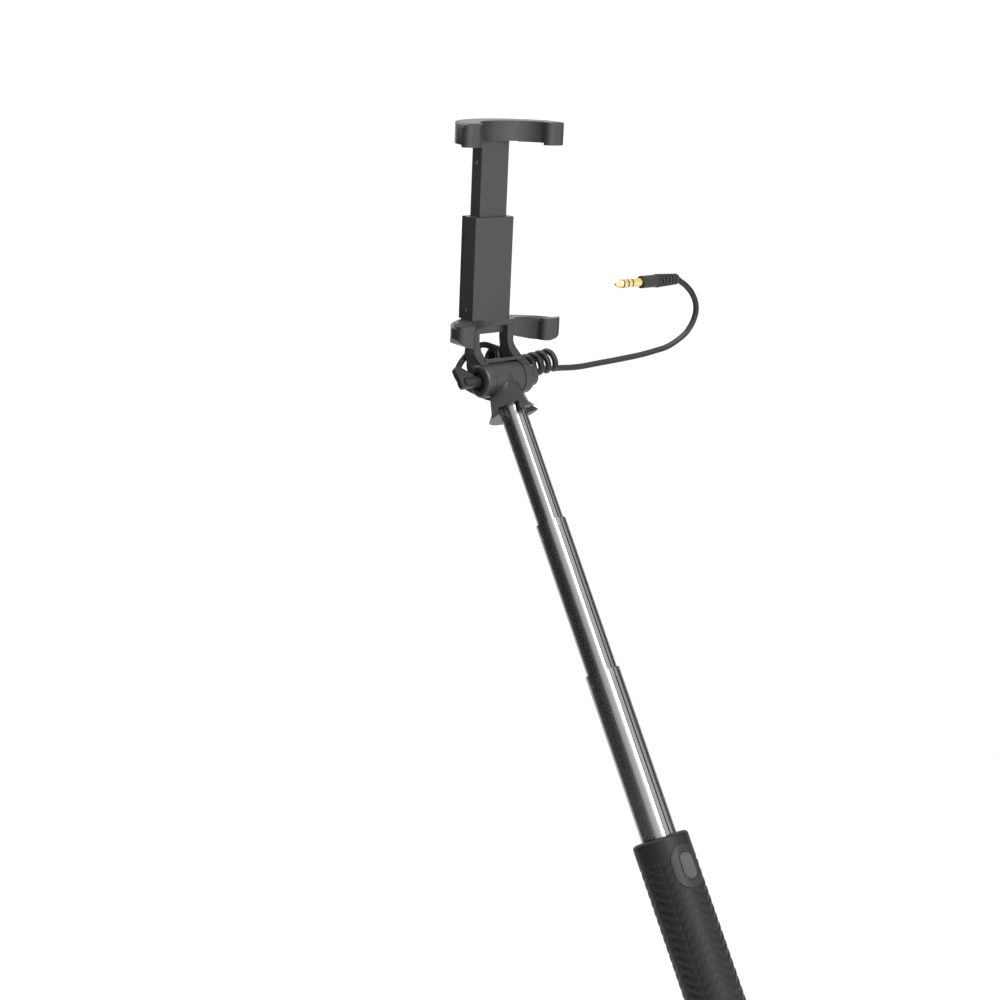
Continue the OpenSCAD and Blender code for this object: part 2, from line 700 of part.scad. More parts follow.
// Lower jaw with the rail behind the phone
module lower_jaw() color("#38383c") in_head() difference() {
    union() {
        intersection() {
            translate([0, 0, seat - lower_jaw_h])
                linear_extrude(lower_jaw_h + hook_lip)
                    translate([lower_jaw_off, 0]) jaw_plan(lower_jaw_w);
            // side profile: lips in front, and a belly that rises to the rear
            side_plate(-lower_jaw_w, lower_jaw_w)
                polygon([[jaw_front - 1, seat - lower_jaw_h], [3, seat - lower_jaw_h],
                    [6, seat - lower_jaw_h + 0.7], [9, seat - lower_jaw_rear_h - 0.4],
                    [11, seat - lower_jaw_rear_h], [30, seat - lower_jaw_rear_h],
                    [30, seat - face_gap], [screen - lip_gap, seat - face_gap],
                    [screen - lip_gap, seat + hook_lip],
                    [jaw_front - 1, seat + hook_lip]]);
            front_plate(-30, 40) translate([lower_jaw_off, 0])
                for (m = [0, 1]) mirror([m, 0, 0])
                    polygon([[0, seat + 5], [lower_jaw_w / 2, seat + 5],
                        [lower_jaw_w / 2, seat - lower_jaw_h + 3.6],
                        [lower_jaw_w / 2 - 1.2, seat - lower_jaw_h + 1.9],
                        [lower_jaw_w / 2 - 3.2, seat - lower_jaw_h + 0.7],
                        [lower_jaw_w / 2 - 6, seat - lower_jaw_h],
                        [0, seat - lower_jaw_h]]);
        }
        // rail: front wall and two sides
        translate([-rail_w / 2, rail_front, seat - 1])
            cube([rail_w, rail_back - rail_front, rail_h + 1]);
    }
    // channel for the tongue
    translate([-tongue_w / 2 - loose_gap, tongue_front - loose_gap, seat + 0.3])
        cube([tongue_w + 2 * loose_gap, 20, rail_h + 1]);
    // seat of the fork's plate
    translate([-arm_in - arm_t, rail_front - 6, seat - lower_jaw_h - 1])
        cube([2 * (arm_in + arm_t), fork_plate_back - rail_front + 6,
            lower_jaw_h - lower_jaw_rear_h + fork_plate_t + 1]);
    // pad recess, pin and screw holes
    translate([lower_jaw_off, 0, seat - pad_t]) linear_extrude(pad_t) pad_plan(lower_jaw_w);
    translate([0, spring_y, lower_pin_z]) bar_x(spring_pin_r, -30, 30);
    for (s = [-1, 1]) translate([s * 4.2, 12, seat - lower_jaw_rear_h])
        cylinder(r = fork_screw_r, h = 4.4);
    for (s = [-1, 1], z = [9, rail_h - 5])
        translate([s * (rail_w / 2 - rail_side / 2), rail_back - 4, seat + z])
            rotate([-90, 0, 0]) cylinder(r = cover_screw_r, h = 5, $fn = 32);
}

module lower_pad() color("#1b1b1d") in_head()
    translate([0, 0, seat - pad_t]) linear_extrude(pad_t)
        difference() {
            translate([lower_jaw_off, 0]) pad_plan(lower_jaw_w);
            translate([-rail_w / 2, rail_front - 0.01]) square([rail_w, 30]);
        }

module rail_cover() color("#303034") in_head() difference() {
    translate([-rail_w / 2, rail_back, seat])
        cube([rail_w, cover_t, rail_h]);
    for (s = [-1, 1], z = [9, rail_h - 5])
        translate([s * (rail_w / 2 - rail_side / 2), rail_back - 1, seat + z])
            rotate([-90, 0, 0]) {
                cylinder(r = cover_screw_r, h = 5, $fn = 32);
                translate([0, 0, 1 + cover_t - 0.7]) cylinder(r = 1.2, h = 2, $fn = 32);
            }
}

module cover_screws() color("#6a6a6e") in_head()
    for (s = [-1, 1], z = [9, rail_h - 5])
        translate([s * (rail_w / 2 - rail_side / 2), rail_back - 3.8, seat + z])
            rotate([-90, 0, 0]) difference() {
                union() {
                    cylinder(r = cover_screw_r, h = 3.8 + cover_t - 0.7, $fn = 32);
                    translate([0, 0, 3.8 + cover_t - 0.7]) cylinder(r = 1.15, h = 0.6, $fn = 32);
                }
                translate([-0.9, -0.2, 3.8 + cover_t - 0.4]) cube([1.8, 0.4, 1]);
                translate([-0.2, -0.9, 3.8 + cover_t - 0.4]) cube([0.4, 1.8, 1]);
            }

module lower_spring_pin() color("#c4c4c8") in_head()
    translate([0, spring_y, lower_pin_z])
        bar_x(spring_pin_r, -rail_w / 2 + 0.2, rail_w / 2 - 0.2);

// Two extension springs that pull the jaws together
module clamp_springs() color("#b8bcc0") in_head()
    for (s = [-1, 1]) translate([s * spring_x, spring_y, 0])
        ring(spring_r, spring_r - 0.4, lower_pin_z + spring_pin_r,
            upper_pin_z - spring_pin_r);

// Upper jaw with the hollow tongue that slides in the rail
module upper_jaw() color("#38383c") in_head() difference() {
    union() {
        intersection() {
            translate([0, 0, upper_seat - hook_lip])
                linear_extrude(upper_jaw_h + hook_lip) jaw_plan(upper_jaw_w);
            side_plate(-upper_jaw_w, upper_jaw_w)
                polygon([[jaw_front - 1, upper_seat - hook_lip],
                    [screen - lip_gap, upper_seat - hook_lip],
                    [screen - lip_gap, upper_seat + face_gap],
                    [30, upper_seat + face_gap], [30, upper_seat + upper_jaw_h],
                    [jaw_front + 0.9, upper_seat + upper_jaw_h],
                    [jaw_front - 1, upper_seat + upper_jaw_h - 1.9]]);
            front_plate(-30, 40)
                polygon([[-upper_jaw_w / 2, upper_seat - 3],
                    [-upper_jaw_w / 2, upper_seat + upper_jaw_h - 2],
                    [-upper_jaw_w / 2 + 0.6, upper_seat + upper_jaw_h - 0.6],
                    [-upper_jaw_w / 2 + 2, upper_seat + upper_jaw_h],
                    [upper_jaw_w / 2 - 2, upper_seat + upper_jaw_h],
                    [upper_jaw_w / 2 - 0.6, upper_seat + upper_jaw_h - 0.6],
                    [upper_jaw_w / 2, upper_seat + upper_jaw_h - 2],
                    [upper_jaw_w / 2, upper_seat - 3]]);
        }
        translate([-tongue_w / 2, tongue_front, tongue_foot])
            cube([tongue_w, tongue_t, tongue_len + 1]);
    }
    // room for the springs
    translate([-tongue_w / 2 + tongue_wall, tongue_front + tongue_wall, tongue_foot - 1])
        cube([tongue_w - 2 * tongue_wall, tongue_t - 2 * tongue_wall,
            upper_pin_z - tongue_foot + 3]);
    // slots that clear the lower pin when the jaws close
    translate([-tongue_w, spring_y - 1.1, tongue_foot - 1])
        cube([2 * tongue_w, 2.2, 6.2]);
    translate([0, spring_y, upper_pin_z]) bar_x(spring_pin_r, -tongue_w, tongue_w);
    translate([0, 0, upper_seat]) linear_extrude(pad_t) pad_plan(upper_jaw_w);
}

module upper_pad() color("#1b1b1d") in_head()
    translate([0, 0, upper_seat]) linear_extrude(pad_t)
        difference() {
            pad_plan(upper_jaw_w);
            translate([-tongue_w / 2, tongue_front - 0.01]) square([tongue_w, 30]);
        }

module upper_spring_pin() color("#c4c4c8") in_head()
    translate([0, spring_y, upper_pin_z])
        bar_x(spring_pin_r, -tongue_w / 2 + 0.1, tongue_w / 2 - 0.1);

// ---- lead ----------------------------------------------------------------

// Round tube swept along points, as one solid with eight sides
function unit(v) = v / norm(v);
function along(p, i) = unit(p[min(i + 1, len(p) - 1)] - p[max(i - 1, 0)]);
// Points on a smooth curve through the route's points
function catmull(p, i, t) =
    let (a = p[max(i - 1, 0)], b = p[i], c = p[i + 1], d = p[min(i + 2, len(p) - 1)])
    0.5 * (2 * b + (c - a) * t + (2 * a - 5 * b + 4 * c - d) * t * t
        + (3 * b - a - 3 * c + d) * t * t * t);
function smooth(p, k) = concat(
    [for (i = [0:len(p) - 2], j = [0:k - 1]) catmull(p, i, j / k)],
    [p[len(p) - 1]]);
function carried(n, t) = unit(n - (n * t) * t);
// Ring normals, carried from ring to ring so that the tube never twists
function normals(p, i = 0, n = [0.1, 0.2, 1], out = []) =
    i == len(p) ? out :
    let (m = carried(n, along(p, i))) normals(p, i + 1, m, concat(out, [m]));
module lead_tube(route, r, sides = 8) {
    p = smooth(route, 2);
    n = normals(p);
    count = len(p);
    points = [for (i = [0:count - 1], s = [0:sides - 1])
        let (b = cross(along(p, i), n[i]), a = 360 * s / sides)
        p[i] + r * (cos(a) * n[i] + sin(a) * b)];
    faces = concat([[for (s = [0:sides - 1]) s]],
        [for (i = [0:count - 2], s = [0:sides - 1])
            [i * sides + s, (i + 1) * sides + s,
                (i + 1) * sides + (s + 1) % sides, i * sides + (s + 1) % sides]],
        [[for (s = [sides - 1:-1:0]) (count - 1) * sides + s]]);
    polyhedron(points = points, faces = faces);
}

module lead_stub() color("#2e2e32") translate([0, 0, hinge_z])
    lead_tube(stub_points, lead_r);
module lead_link() color("#2e2e32") in_head() lead_tube(link_points, lead_r);

// The curly part as one fat tube of its outer size
module lead_curl() color("#2e2e32") in_head() {
    ends = len(curl_points) - 1;
    bore = concat([curl_points[0] - 2 * unit(curl_points[1] - curl_points[0])],
        curl_points, [curl_points[ends] + 2 * unit(curl_points[ends] - curl_points[ends - 1])]);
    difference() {
        lead_tube(curl_points, curl_d / 2, 20);
        lead_tube(bore, curl_d / 2 - lead_d, 20);
    }
}

module lead_run() color("#2e2e32") in_head()
    lead_tube(concat(run_points, [[relief_end, plug_y, plug_z]]), lead_r);

// Plug: ribbed strain relief, body and the four-pole contact
module plug_part(r, a, b) in_head() translate([0, plug_y, plug_z]) bar_x(r, a, b);
module plug_relief() color("#242428") in_head() translate([0, plug_y, plug_z]) {
    start = plug_x + plug_body_len;
    rib = relief_len / 6;
    bar_x(plug_body_d / 2 - 0.6, start, relief_end);
    for (i = [0:5]) bar_x(plug_body_d / 2 + 0.25 - 0.1 * i, start + i * rib, start + (i + 0.62) * rib);
}
module plug_body() color("#242428") plug_part(plug_body_d / 2, plug_x, plug_x + plug_body_len);
plug_r = 1.75;
module plug_sleeve() color("#d8c070") plug_part(plug_r, plug_x - 5.2, plug_x);
module plug_insulators() color("#101012") {
    plug_part(plug_r, plug_x - 5.9, plug_x - 5.2);
    plug_part(plug_r, plug_x - 8.3, plug_x - 7.6);
    plug_part(plug_r, plug_x - 10.7, plug_x - 10);
}
module plug_rings() color("#d8c070") {
    plug_part(plug_r, plug_x - 7.6, plug_x - 5.9);
    plug_part(plug_r, plug_x - 10, plug_x - 8.3);
}
module plug_tip() color("#d8c070") in_head()
    translate([plug_x - 10.7, plug_y, plug_z]) rotate([0, -90, 0]) {
        cylinder(r1 = 1.6, r2 = 1.15, h = 0.9, $fn = 48);
        translate([0, 0, 0.9]) cylinder(r1 = 1.15, r2 = 1.6, h = 0.8, $fn = 48);
        translate([0, 0, 1.7]) cylinder(r1 = 1.6, r2 = 0.5, h = contact_len - 10.7 - 1.7, $fn = 48);
    }

grip_sleeve();
handle_core();
mouth_collar();
end_cap();
circuit_board();
tact_switch();
chip_resistors();
button_bezel();
button_cap();
switch_plunger();
lower_tube();
lower_bush();
middle_tube();
middle_bush();
upper_tube();
upper_bush();
handle_lead();
lower_lead();
middle_lead();
upper_lead();
tee_body();
tee_screw();
lead_grommet();
friction_washers();
fork();
fork_screws();
hinge_bolt();
wing_knob();
hinge_nut();
lower_jaw();
lower_pad();
rail_cover();
cover_screws();
lower_spring_pin();
clamp_springs();
upper_jaw();
upper_pad();
upper_spring_pin();
lead_stub();
lead_link();
lead_curl();
lead_run();
plug_relief();
plug_body();
plug_sleeve();
plug_insulators();
plug_rings();
plug_tip();
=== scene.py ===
import json
import math

import bmesh
import bpy
from mathutils import Matrix, Vector

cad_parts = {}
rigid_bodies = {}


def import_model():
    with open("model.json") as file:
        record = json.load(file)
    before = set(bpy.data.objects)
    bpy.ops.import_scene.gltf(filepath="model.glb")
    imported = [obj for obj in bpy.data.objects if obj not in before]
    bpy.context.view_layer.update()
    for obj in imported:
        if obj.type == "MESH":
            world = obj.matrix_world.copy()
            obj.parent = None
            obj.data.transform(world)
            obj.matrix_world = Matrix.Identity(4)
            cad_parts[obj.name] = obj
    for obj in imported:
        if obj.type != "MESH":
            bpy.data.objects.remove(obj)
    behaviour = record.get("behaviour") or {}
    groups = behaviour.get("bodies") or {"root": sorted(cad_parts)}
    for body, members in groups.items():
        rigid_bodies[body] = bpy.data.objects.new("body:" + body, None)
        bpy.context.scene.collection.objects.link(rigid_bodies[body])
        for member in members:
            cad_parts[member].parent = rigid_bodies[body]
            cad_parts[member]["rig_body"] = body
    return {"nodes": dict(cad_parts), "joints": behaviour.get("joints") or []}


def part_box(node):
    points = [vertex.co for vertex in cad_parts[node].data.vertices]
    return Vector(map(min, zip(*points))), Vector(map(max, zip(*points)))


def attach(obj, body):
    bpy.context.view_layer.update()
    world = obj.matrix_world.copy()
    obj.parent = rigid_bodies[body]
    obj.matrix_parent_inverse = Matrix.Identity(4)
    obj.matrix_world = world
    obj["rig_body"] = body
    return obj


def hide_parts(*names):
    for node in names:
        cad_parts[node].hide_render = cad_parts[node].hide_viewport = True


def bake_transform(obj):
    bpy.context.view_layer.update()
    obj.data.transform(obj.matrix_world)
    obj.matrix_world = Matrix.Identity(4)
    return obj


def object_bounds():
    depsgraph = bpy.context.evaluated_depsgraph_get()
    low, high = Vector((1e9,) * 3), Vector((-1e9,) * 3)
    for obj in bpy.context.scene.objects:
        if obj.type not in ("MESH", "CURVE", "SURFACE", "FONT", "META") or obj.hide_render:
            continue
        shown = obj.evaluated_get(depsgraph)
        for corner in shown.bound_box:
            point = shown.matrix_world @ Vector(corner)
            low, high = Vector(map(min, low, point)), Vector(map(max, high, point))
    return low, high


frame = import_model()
cad_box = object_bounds()

# ---- frame of the clamp --------------------------------------------------
# Sizes are written in millimetres and times MM, because the scene is in metres. The
# clamp leans about the hinge, and HEAD turns a point of the upright clamp to its place.

MM = 0.001
WELD, FINE_WELD = 1e-3 * MM, 1e-4 * MM
joints = {joint["name"]: joint for joint in frame["joints"]}
hinge = Vector(joints["head_tilt"]["pos_m"])
slide_way = Vector(joints["jaw_slide"]["axis"])
head_tilt = math.atan2(-slide_way.y, slide_way.z)
HEAD = Matrix.Translation(hinge) @ Matrix.Rotation(head_tilt, 4, "X")

# ---- camera ----------------------------------------------------------------
# Below and to the left of the screen side, looking up along the pole, and rolled
# so that the pole leans to the upper left.

eye = Vector((-0.40904, -0.51036, 0.08415))
target = Vector((-0.01815, 0.00235, 0.2124))
roll = math.radians(-18.7)

camera_data = bpy.data.cameras.new("camera")
camera_data.lens = 61.85
camera_data.sensor_width = 36
camera_data.clip_start = 0.01
camera = bpy.data.objects.new("camera", camera_data)
bpy.context.scene.collection.objects.link(camera)
look = (target - eye).to_track_quat("-Z", "Y").to_matrix().to_4x4()
camera.matrix_world = Matrix.Translation(eye) @ look @ Matrix.Rotation(roll, 4, "Z")
bpy.context.scene.camera = camera

# ---- lead ------------------------------------------------------------------
# One lead from the grommet round the fork's left arm, through its curl, and in a
# free bow to the plug. Its points are in millimetres from the hinge, in the upright
# clamp's frame, but for stub_points, which stay with the pole as the clamp leans.

lead_d = 2.5
curl_r = 3.9
curl_turns = 11.5
curl_ease = 0.055  # share of the coil over which it opens, at each end
steps_per_turn = 20
stub_points = [
    (0, 8.2, -4.4), (0, 9.6, -4.2), (-1.6, 10.8, -3), (-4.6, 11.2, -0.8),
    (-8, 11.2, 1.4), (-11, 10.8, 4),
]
link_points = [
    (-12.4, 12.3, -0.5), (-12.7, 12.1, 2.2), (-11.2, 12, 5.2),
    (-8.2, 12.2, 8), (-4.2, 13, 10), (0, 14.5, 10.7), (3.4, 15.3, 10.4),
    (6, 15.5, 9.5),
]
curl_axis = [
    (6.3, 15.4, 5.3), (10, 15.3, 4.1), (15, 15.2, 1.6), (21, 15, -0.4),
    (29.5, 14.8, 0.4), (37.5, 14.4, 1.4),
]
run_points = [
    (42.5, 14, -2.6), (47.6, 13.4, -2.8),
    (53, 12.6, -2.6), (59.6, 11.5, -1.9), (66.6, 10.3, -1.2),
    (73.5, 9, -0.4), (80.3, 7.7, 0.5), (87.2, 6.4, 1.8), (94.1, 5.1, 3.6),
    (101.2, 4.1, 7.6), (104.6, 3.7, 11.2), (106.6, 3.6, 14.9),
    (107.3, 3.6, 18.4), (106.5, 3.6, 22.1), (104, 3.6, 26),
    (100.3, 3.6, 29.3), (96.8, 3.6, 31.4), (94.6, 3.6, 32.6), (92, 3.6, 32.6),
]


def eased(t, ease):
    """Goes from 0 to 1 as t does, slow at both ends, so that a coil opens into its lead."""
    top = 1 / (1 - ease)
    if t < ease:
        return top * t * t / (2 * ease)
    if t > 1 - ease:
        return 1 - eased(1 - t, ease)
    return top * (t - ease / 2)


def smooth_line(points, steps):
    """A Catmull-Rom curve through the points."""
    points = [Vector(p) for p in points]
    line = []
    for i in range(len(points) - 1):
        a, b, c = points[max(i - 1, 0)], points[i], points[i + 1]
        d = points[min(i + 2, len(points) - 1)]
        for k in range(steps):
            t = k / steps
            line.append(0.5 * (2 * b + (c - a) * t + (2 * a - 5 * b + 4 * c - d) * t * t
                               + (3 * b - a - 3 * c + d) * t ** 3))
    line.append(points[-1])
    return line


def curl_points():
    """The coil's line, wound about its sagging axis."""
    axis = smooth_line(curl_axis, 40)
    last = len(axis) - 1
    reach = 8  # points of the axis to each side that give its way
    steps = round(curl_turns * steps_per_turn)
    for i in range(steps + 1):
        t = i / steps
        place = min(t * last, last - 0.001)
        k = int(place)
        centre = axis[k].lerp(axis[k + 1], place - k)
        along = (axis[min(k + reach, last)] - axis[max(k - reach, 0)]).normalized()
        side = (Vector((0, 1, 0)) - along * along.y).normalized()
        up = along.cross(side)
        angle = math.pi / 2 + 2 * math.pi * curl_turns * eased(t, curl_ease)
        yield centre + curl_r * (side * math.cos(angle) + up * math.sin(angle))


def swept(name, line, radius, material, sides=16):
    """A closed round piece swept along a line of points."""
    curve = bpy.data.curves.new(name, "CURVE")
    curve.dimensions = "3D"
    curve.bevel_depth = radius
    curve.bevel_resolution = sides // 4
    curve.use_fill_caps = True
    spline = curve.splines.new("POLY")
    spline.points.add(len(line) - 1)
    for point, place in zip(spline.points, line):
        point.co = (*place, 1)
    drawn = bpy.data.objects.new(name + "_line", curve)
    bpy.context.scene.collection.objects.link(drawn)
    bpy.context.view_layer.update()
    mesh = bpy.data.meshes.new_from_object(drawn)
    bpy.data.objects.remove(drawn)
    bm = bmesh.new()
    bm.from_mesh(mesh)
    bmesh.ops.remove_doubles(bm, verts=bm.verts, dist=WELD)
    bmesh.ops.recalc_face_normals(bm, faces=bm.faces)
    return made(name, bm, material, smooth_angle=50)


def made(name, bm, material, smooth_angle=30):
    """Puts a finished bmesh into the scene, shaded smooth where it bends less than the angle."""
    mesh = bpy.data.meshes.new(name)
    bm.to_mesh(mesh)
    bm.free()
    mesh.materials.clear()
    mesh.materials.append(material)
    mesh.shade_smooth()
    mesh.set_sharp_from_angle(angle=math.radians(smooth_angle))
    piece = bpy.data.objects.new(name, mesh)
    bpy.context.scene.collection.objects.link(piece)
    flat = piece.modifiers.new("flat_faces", "WEIGHTED_NORMAL")
    flat.keep_sharp = True
    return piece


def finish(name, colour, roughness, metallic=0.0, tone=0.12, bump=0.03, scale=900,
           stretch=(1, 1, 1), sheen=0.5):
    """A material whose fine grain bumps the surface and shifts its tone and gloss a little."""
    duller, glossier = 1.15, 0.85  # times the roughness, at the grain's ends
    material = bpy.data.materials.new(name)
    material.use_nodes = True
    nodes, links = material.node_tree.nodes, material.node_tree.links
    shader = nodes["Principled BSDF"]
    shader.inputs["Metallic"].default_value = metallic
    shader.inputs["Specular IOR Level"].default_value = sheen
    place = nodes.new("ShaderNodeTexCoord")
    mapping = nodes.new("ShaderNodeMapping")
    mapping.inputs["Scale"].default_value = stretch
    noise = nodes.new("ShaderNodeTexNoise")
    noise.inputs["Scale"].default_value = scale
    noise.inputs["Detail"].default_value = 4
    links.new(place.outputs["Object"], mapping.inputs["Vector"])
    links.new(mapping.outputs["Vector"], noise.inputs["Vector"])
    tones = nodes.new("ShaderNodeMix")
    tones.data_type = "RGBA"
    tones.inputs["A"].default_value = (*(c * (1 - tone) for c in colour), 1)
    tones.inputs["B"].default_value = (*(c * (1 + tone) for c in colour), 1)
    links.new(noise.outputs["Fac"], tones.inputs["Factor"])
    links.new(tones.outputs["Result"], shader.inputs["Base Color"])
    gloss = nodes.new("ShaderNodeMapRange")
    gloss.inputs["To Min"].default_value = roughness * glossier
    gloss.inputs["To Max"].default_value = roughness * duller
    links.new(noise.outputs["Fac"], gloss.inputs["Value"])
    links.new(gloss.outputs["Result"], shader.inputs["Roughness"])
    relief = nodes.new("ShaderNodeBump")
    relief.inputs["Strength"].default_value = 0.5
    relief.inputs["Distance"].default_value = bump * MM
    links.new(noise.outputs["Fac"], relief.inputs["Height"])
    links.new(relief.outputs["Normal"], shader.inputs["Normal"])
    return material


jacket = finish("lead_jacket", (0.010, 0.010, 0.011), 0.42, bump=0.02, scale=1500, sheen=0.35)
turn_back = Matrix.Rotation(-head_tilt, 4, "X")
curl = list(curl_points())
route = smooth_line([turn_back @ Vector(p) for p in stub_points] + link_points, 6)[:-1]
route += smooth_line([link_points[-1], curl[0]], 3)[:-1]
route += curl
route += smooth_line([curl[-1]] + run_points, 8)[1:]
lead_line = [HEAD @ (p * MM) for p in route]
lead_length = sum((b - a).length for a, b in zip(lead_line, lead_line[1:]))
lead = swept("lead", lead_line, lead_d / 2 * MM, jacket)
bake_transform(lead)
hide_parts("lead_stub", "lead_link", "lead_curl", "lead_run")
[tuple(p) for p in lead_line]

# ---- plug --------------------------------------------------------------------
# A four-pole 3.5 mm plug. Body and ribbed relief are one soft moulding on the lead;
# the contact is gold-plated, with black insulating rings pressed flush.


def smoothed(node, material, edge=0.0, segments=2, angle=30):
    """A copy of a CAD node with triangles merged, curved walls smooth and edges rounded."""
    flat_angle = math.radians(0.6)
    bm = bmesh.new()
    bm.from_mesh(frame["nodes"][node].data)
    bmesh.ops.remove_doubles(bm, verts=bm.verts, dist=FINE_WELD)
    bmesh.ops.dissolve_limit(bm, angle_limit=flat_angle, verts=bm.verts, edges=bm.edges)
    if edge:
        corners = [e for e in bm.edges
                   if e.is_manifold and e.calc_face_angle() > math.radians(angle)]
        bmesh.ops.bevel(bm, geom=corners, offset=edge * MM, segments=segments, profile=0.5,
                        affect="EDGES", material=-1, clamp_overlap=True)
        bmesh.ops.remove_doubles(bm, verts=bm.verts, dist=FINE_WELD)
    piece = made(node + "_shell", bm, material, angle)
    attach(piece, frame["nodes"][node]["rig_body"])
    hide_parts(node)
    return piece


def paint(material, *names):
    """Gives CAD nodes, whose shape stays, their material."""
    for name in names:
        mesh = frame["nodes"][name].data
        mesh.materials.clear()
        mesh.materials.append(material)


soft_moulding = finish("soft_moulding", (0.010, 0.010, 0.011), 0.5, bump=0.03, scale=1200)
contact_gold = finish("contact_gold", (0.83, 0.62, 0.27), 0.2, metallic=1, tone=0.05, bump=0.003,
                      scale=700, stretch=(0.05, 1, 1))
ring_black = finish("ring_black", (0.012, 0.012, 0.012), 0.25, bump=0.005)
paint(soft_moulding, "plug_relief", "plug_body", "lead_grommet")
paint(contact_gold, "plug_sleeve", "plug_rings", "plug_tip")
paint(ring_black, "plug_insulators")

# ---- jaws, rail and fork -------------------------------------------------------
# Matt charcoal ABS mouldings with soft edges: two horseshoe jaws, the rail behind
# the phone, and the fork that carries the lower jaw.

charcoal = finish("charcoal_abs", (0.021, 0.021, 0.022), 0.36, bump=0.02, scale=1400)
dark_abs = finish("dark_abs", (0.010, 0.010, 0.011), 0.48, bump=0.03, scale=1400, sheen=0.4)
for node, edge in (("upper_jaw", 1.0), ("lower_jaw", 0.8), ("fork", 0.5)):
    smoothed(node, charcoal, edge, segments=3)
smoothed("rail_cover", dark_abs, 0.3)
pad_rubber = finish("pad_rubber", (0.012, 0.012, 0.012), 0.7, bump=0.05, scale=1000)
paint(pad_rubber, "lower_pad", "upper_pad")
black_steel = finish("black_steel", (0.09, 0.09, 0.095), 0.35, metallic=1, bump=0.005)
bright_steel = finish("bright_steel", (0.6, 0.6, 0.61), 0.25, metallic=1, tone=0.06, bump=0.004)
paint(black_steel, "fork_screws", "cover_screws", "tee_screw")
paint(bright_steel, "lower_spring_pin", "upper_spring_pin", "hinge_nut", "hinge_bolt")

# ---- tee and wing screw ----------------------------------------------------------
# The tee is one moulding on the top tube; the wing screw clamps the fork against
# it through two nylon washers.

smoothed("tee_body", charcoal, 0.25)
smoothed("wing_knob", dark_abs, 0.35)
nylon = finish("nylon", (0.72, 0.69, 0.6), 0.5)
paint(nylon, "friction_washers", "lower_bush", "middle_bush", "upper_bush")

# ---- tubes -------------------------------------------------------------------
# Three drawn stainless tubes, polished along their length, each with a pressed
# groove that keeps it from turning and two dimples that stop the next one.


def groove_shade_lines(material, turn, half_width, line):
    """Darkens two lines along the tubes with painted shade, in the groove's corners."""
    deepest_shade, core = 0.12, 0.4  # tone of a line's middle, and that middle's share of the line
    nodes, links = material.node_tree.nodes, material.node_tree.links
    shader = nodes["Principled BSDF"]

    def math_node(kind, a, b=0.0):
        node = nodes.new("ShaderNodeMath")
        node.operation = kind
        for socket, value in zip(node.inputs, (a, b)):
            if isinstance(value, (int, float)):
                socket.default_value = value
            else:
                links.new(value, socket)
        return node.outputs[0]

    place = nodes.new("ShaderNodeTexCoord")
    parts = nodes.new("ShaderNodeSeparateXYZ")
    links.new(place.outputs["Object"], parts.inputs[0])
    x, y = parts.outputs["X"], parts.outputs["Y"]
    squares = math_node("ADD", math_node("MULTIPLY", x, x), math_node("MULTIPLY", y, y))
    radius = math_node("SQRT", squares)
    angle = math_node("ARCTAN2", x, math_node("MULTIPLY", y, -1.0))
    across = math_node("MULTIPLY", math_node("ADD", angle, math.radians(turn)), radius)
    past_line = math_node("SUBTRACT", math_node("ABSOLUTE", across), half_width * MM)
    off_line = math_node("ABSOLUTE", past_line)
    bright = nodes.new("ShaderNodeMapRange")
    bright.interpolation_type = "SMOOTHSTEP"
    bright.inputs["From Min"].default_value = line * MM * core
    bright.inputs["From Max"].default_value = line * MM
    bright.inputs["To Min"].default_value = deepest_shade
    links.new(off_line, bright.inputs["Value"])
    shade = nodes.new("ShaderNodeMix")
    shade.data_type = "RGBA"
    shade.blend_type = "MULTIPLY"
    shade.inputs["Factor"].default_value = 1
    toned = shader.inputs["Base Color"].links[0].from_socket
    links.new(toned, shade.inputs["A"])
    links.new(bright.outputs["Result"], shade.inputs["B"])
    links.new(shade.outputs["Result"], shader.inputs["Base Color"])


steel = finish("tube_steel", (0.3, 0.3, 0.305), 0.27, metallic=1, tone=0.08, bump=0.004, scale=1600,
               stretch=(1, 1, 0.01))
# Painted shade: two dark lines multiplied into the steel's colour at the groove's corners.
groove_shade_lines(steel, turn=7, half_width=0.98, line=0.34)
for node in ("lower_tube", "middle_tube", "upper_tube"):
    smoothed(node, steel, 0.12)

# ---- handle --------------------------------------------------------------------
# A hard core in a rubber sleeve, closed by a cap with a lug for the wrist strap.

grip_rubber = finish("grip_rubber", (0.0075, 0.007, 0.008), 0.5, bump=0.02, scale=1200, sheen=0.3)
sleeve_foot, sleeve_mouth = (c.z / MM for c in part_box("grip_sleeve"))
sleeve_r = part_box("grip_sleeve")[1].x / MM
mouth_r, bore_r = 7.9, 9.62
mouth_wall = 1.4
mouth_lip = 1.6
mouth_band, foot_band = 9, 1.5  # smooth stretches above and below the pattern
emboss_depth = 0.17
bar_pitch, bar_lean = 3.4, 1.1
bar_half, bar_fade = 0.3, 0.06  # shares of a bar's pitch
lane_half, lane_fade = 0.44, 0.05  # shares of a lane's width
AROUND, UP, LANES = 330, 290, 10


def raised(turn, z):
    """How far the sleeve's face stands out here, from 0 to 1: slanting bars stand in
    lanes that lean left and right by turns."""
    if z > sleeve_mouth - mouth_band or z < sleeve_foot + foot_band:
        return 1.0
    lane = turn * LANES
    across = lane - math.floor(lane) - 0.5
    lean = 1 if math.floor(lane) % 2 else -1
    row = (z / bar_pitch + lean * across * bar_lean) % 1
    bar = min(max((bar_half - abs(row - 0.5)) / bar_fade, 0), 1)
    edge = min(max((lane_half - abs(across)) / lane_fade, 0), 1)
    return bar * edge


